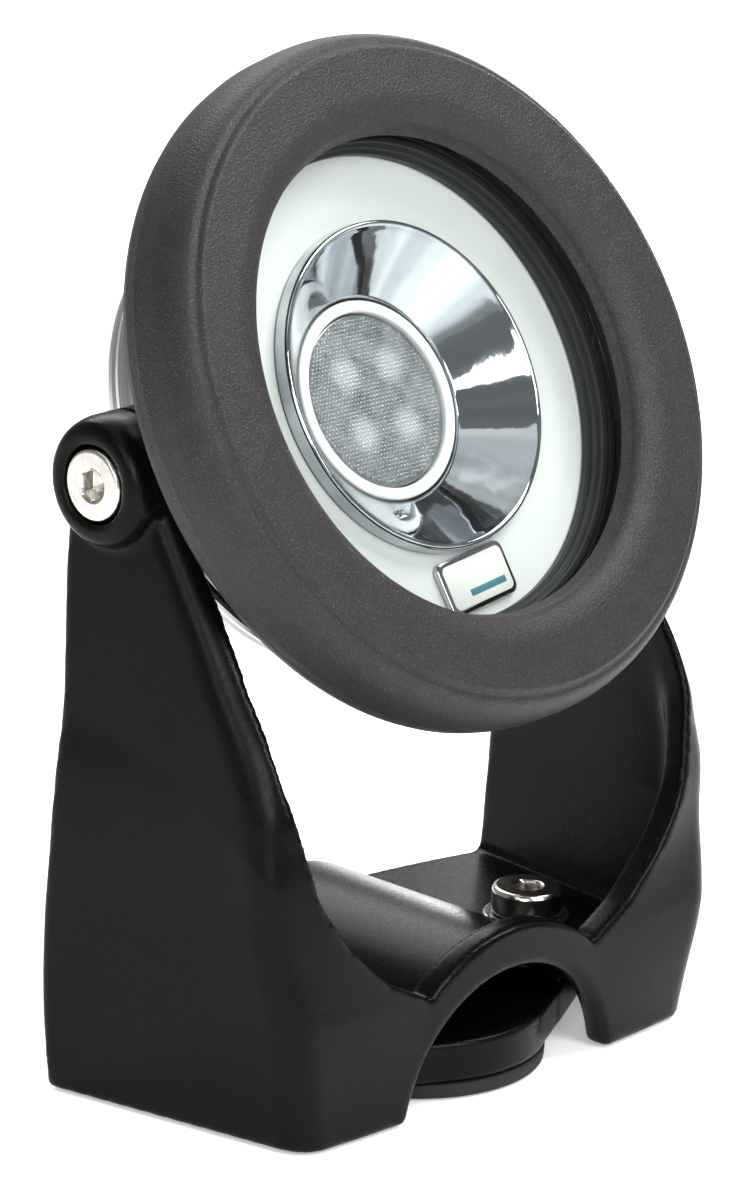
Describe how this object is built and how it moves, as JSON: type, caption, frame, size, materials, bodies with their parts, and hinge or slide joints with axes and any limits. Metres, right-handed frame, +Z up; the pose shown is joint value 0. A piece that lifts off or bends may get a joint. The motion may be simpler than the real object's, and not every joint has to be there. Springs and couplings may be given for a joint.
{
  "type": "underwater pond light",
  "caption": "Round underwater lamp head with a deep front ring, glass window and recessed reflector, tilting between the two arms of a moulded bracket on a round foot.",
  "frame": {"origin": "on the ground, under the middle of the bounding box", "axes": "+Z up, -Y the way the lamp faces, +X to the right as the lamp is seen from its front"},
  "size_m": [0.1242, 0.0874, 0.181],
  "materials": {
    "black_plastic": "black moulded plastic, satin",
    "grey_plastic": "charcoal plastic with a fine grain, matte",
    "rubber": "black rubber, matte",
    "clear_glass": "clear window, polished",
    "steel": "stainless steel, bright",
    "chrome": "mirror plated",
    "white_plastic": "white plastic, satin",
    "lens_plastic": "clear acrylic with fine lens cells",
    "dark_baffle": "dark grey plastic, satin",
    "circuit_white": "white solder resist",
    "circuit_green": "green solder resist",
    "phosphor": "silicone over yellow phosphor",
    "aluminium": "machined",
    "brass": "nickel-free brass, satin",
    "teal": "printed teal, satin"
  },
  "bodies": {
    "bracket": {"bracket": "black_plastic", "foot": "black_plastic", "foot_pad": "rubber", "clamp_washer_left": "steel", "clamp_washer_right": "steel", "clamp_nut_left": "steel", "clamp_nut_right": "steel"},
    "head": {"front_ring": "grey_plastic", "front_gasket": "rubber", "window_glass": "clear_glass", "housing_seal": "rubber", "retaining_ring": "steel", "pot_housing": "steel", "light_baffle": "dark_baffle", "aperture_plate": "white_plastic", "reflector": "chrome", "lens_holder": "white_plastic", "micro_lens": "lens_plastic", "led_board": "circuit_white", "led_1": "phosphor", "led_2": "phosphor", "led_3": "phosphor", "led_4": "phosphor", "heat_spreader": "aluminium", "driver_board": "circuit_green", "driver_capacitor": "aluminium", "badge_frame": "chrome", "badge_face": "white_plastic", "badge_bar": "teal", "gland_locknut": "brass", "gland_body": "brass", "gland_seal": "rubber", "pivot_lug_left": "black_plastic", "pivot_lug_right": "black_plastic", "pivot_insert_left": "brass", "pivot_insert_right": "brass"},
    "gland_nut": {"gland_nut": "black_plastic"},
    "pivot_screw_left": {"pivot_screw_left": "steel"},
    "pivot_screw_right": {"pivot_screw_right": "steel"},
    "clamp_screw_left": {"clamp_screw_left": "steel"},
    "clamp_screw_right": {"clamp_screw_right": "steel"}
  },
  "joints": [
    {"name": "head_tilt", "type": "hinge", "parent": "bracket", "child": "head", "pos_m": [0, 0.01427, 0.111], "axis": [-1, 0, 0], "range_deg": [-6, 62]},
    {"name": "pivot_screw_left_turn", "type": "hinge", "parent": "bracket", "child": "pivot_screw_left", "pos_m": [-0.05, 0.01427, 0.111], "axis": [-1, 0, 0], "range_deg": [0, 360]},
    {"name": "pivot_screw_right_turn", "type": "hinge", "parent": "bracket", "child": "pivot_screw_right", "pos_m": [0.05, 0.01427, 0.111], "axis": [1, 0, 0], "range_deg": [0, 360]},
    {"name": "clamp_screw_left_turn", "type": "hinge", "parent": "bracket", "child": "clamp_screw_left", "pos_m": [-0.031, -0.00973, 0.02], "axis": [0, 0, 1], "range_deg": [0, 360]},
    {"name": "clamp_screw_right_turn", "type": "hinge", "parent": "bracket", "child": "clamp_screw_right", "pos_m": [0.031, -0.00973, 0.02], "axis": [0, 0, 1], "range_deg": [0, 360]},
    {"name": "gland_nut_turn", "type": "hinge", "parent": "head", "child": "gland_nut", "pos_m": [0, 0.03244, 0.10259], "axis": [0, 0.8854, -0.4648], "range_deg": [0, 360]}
  ]
}
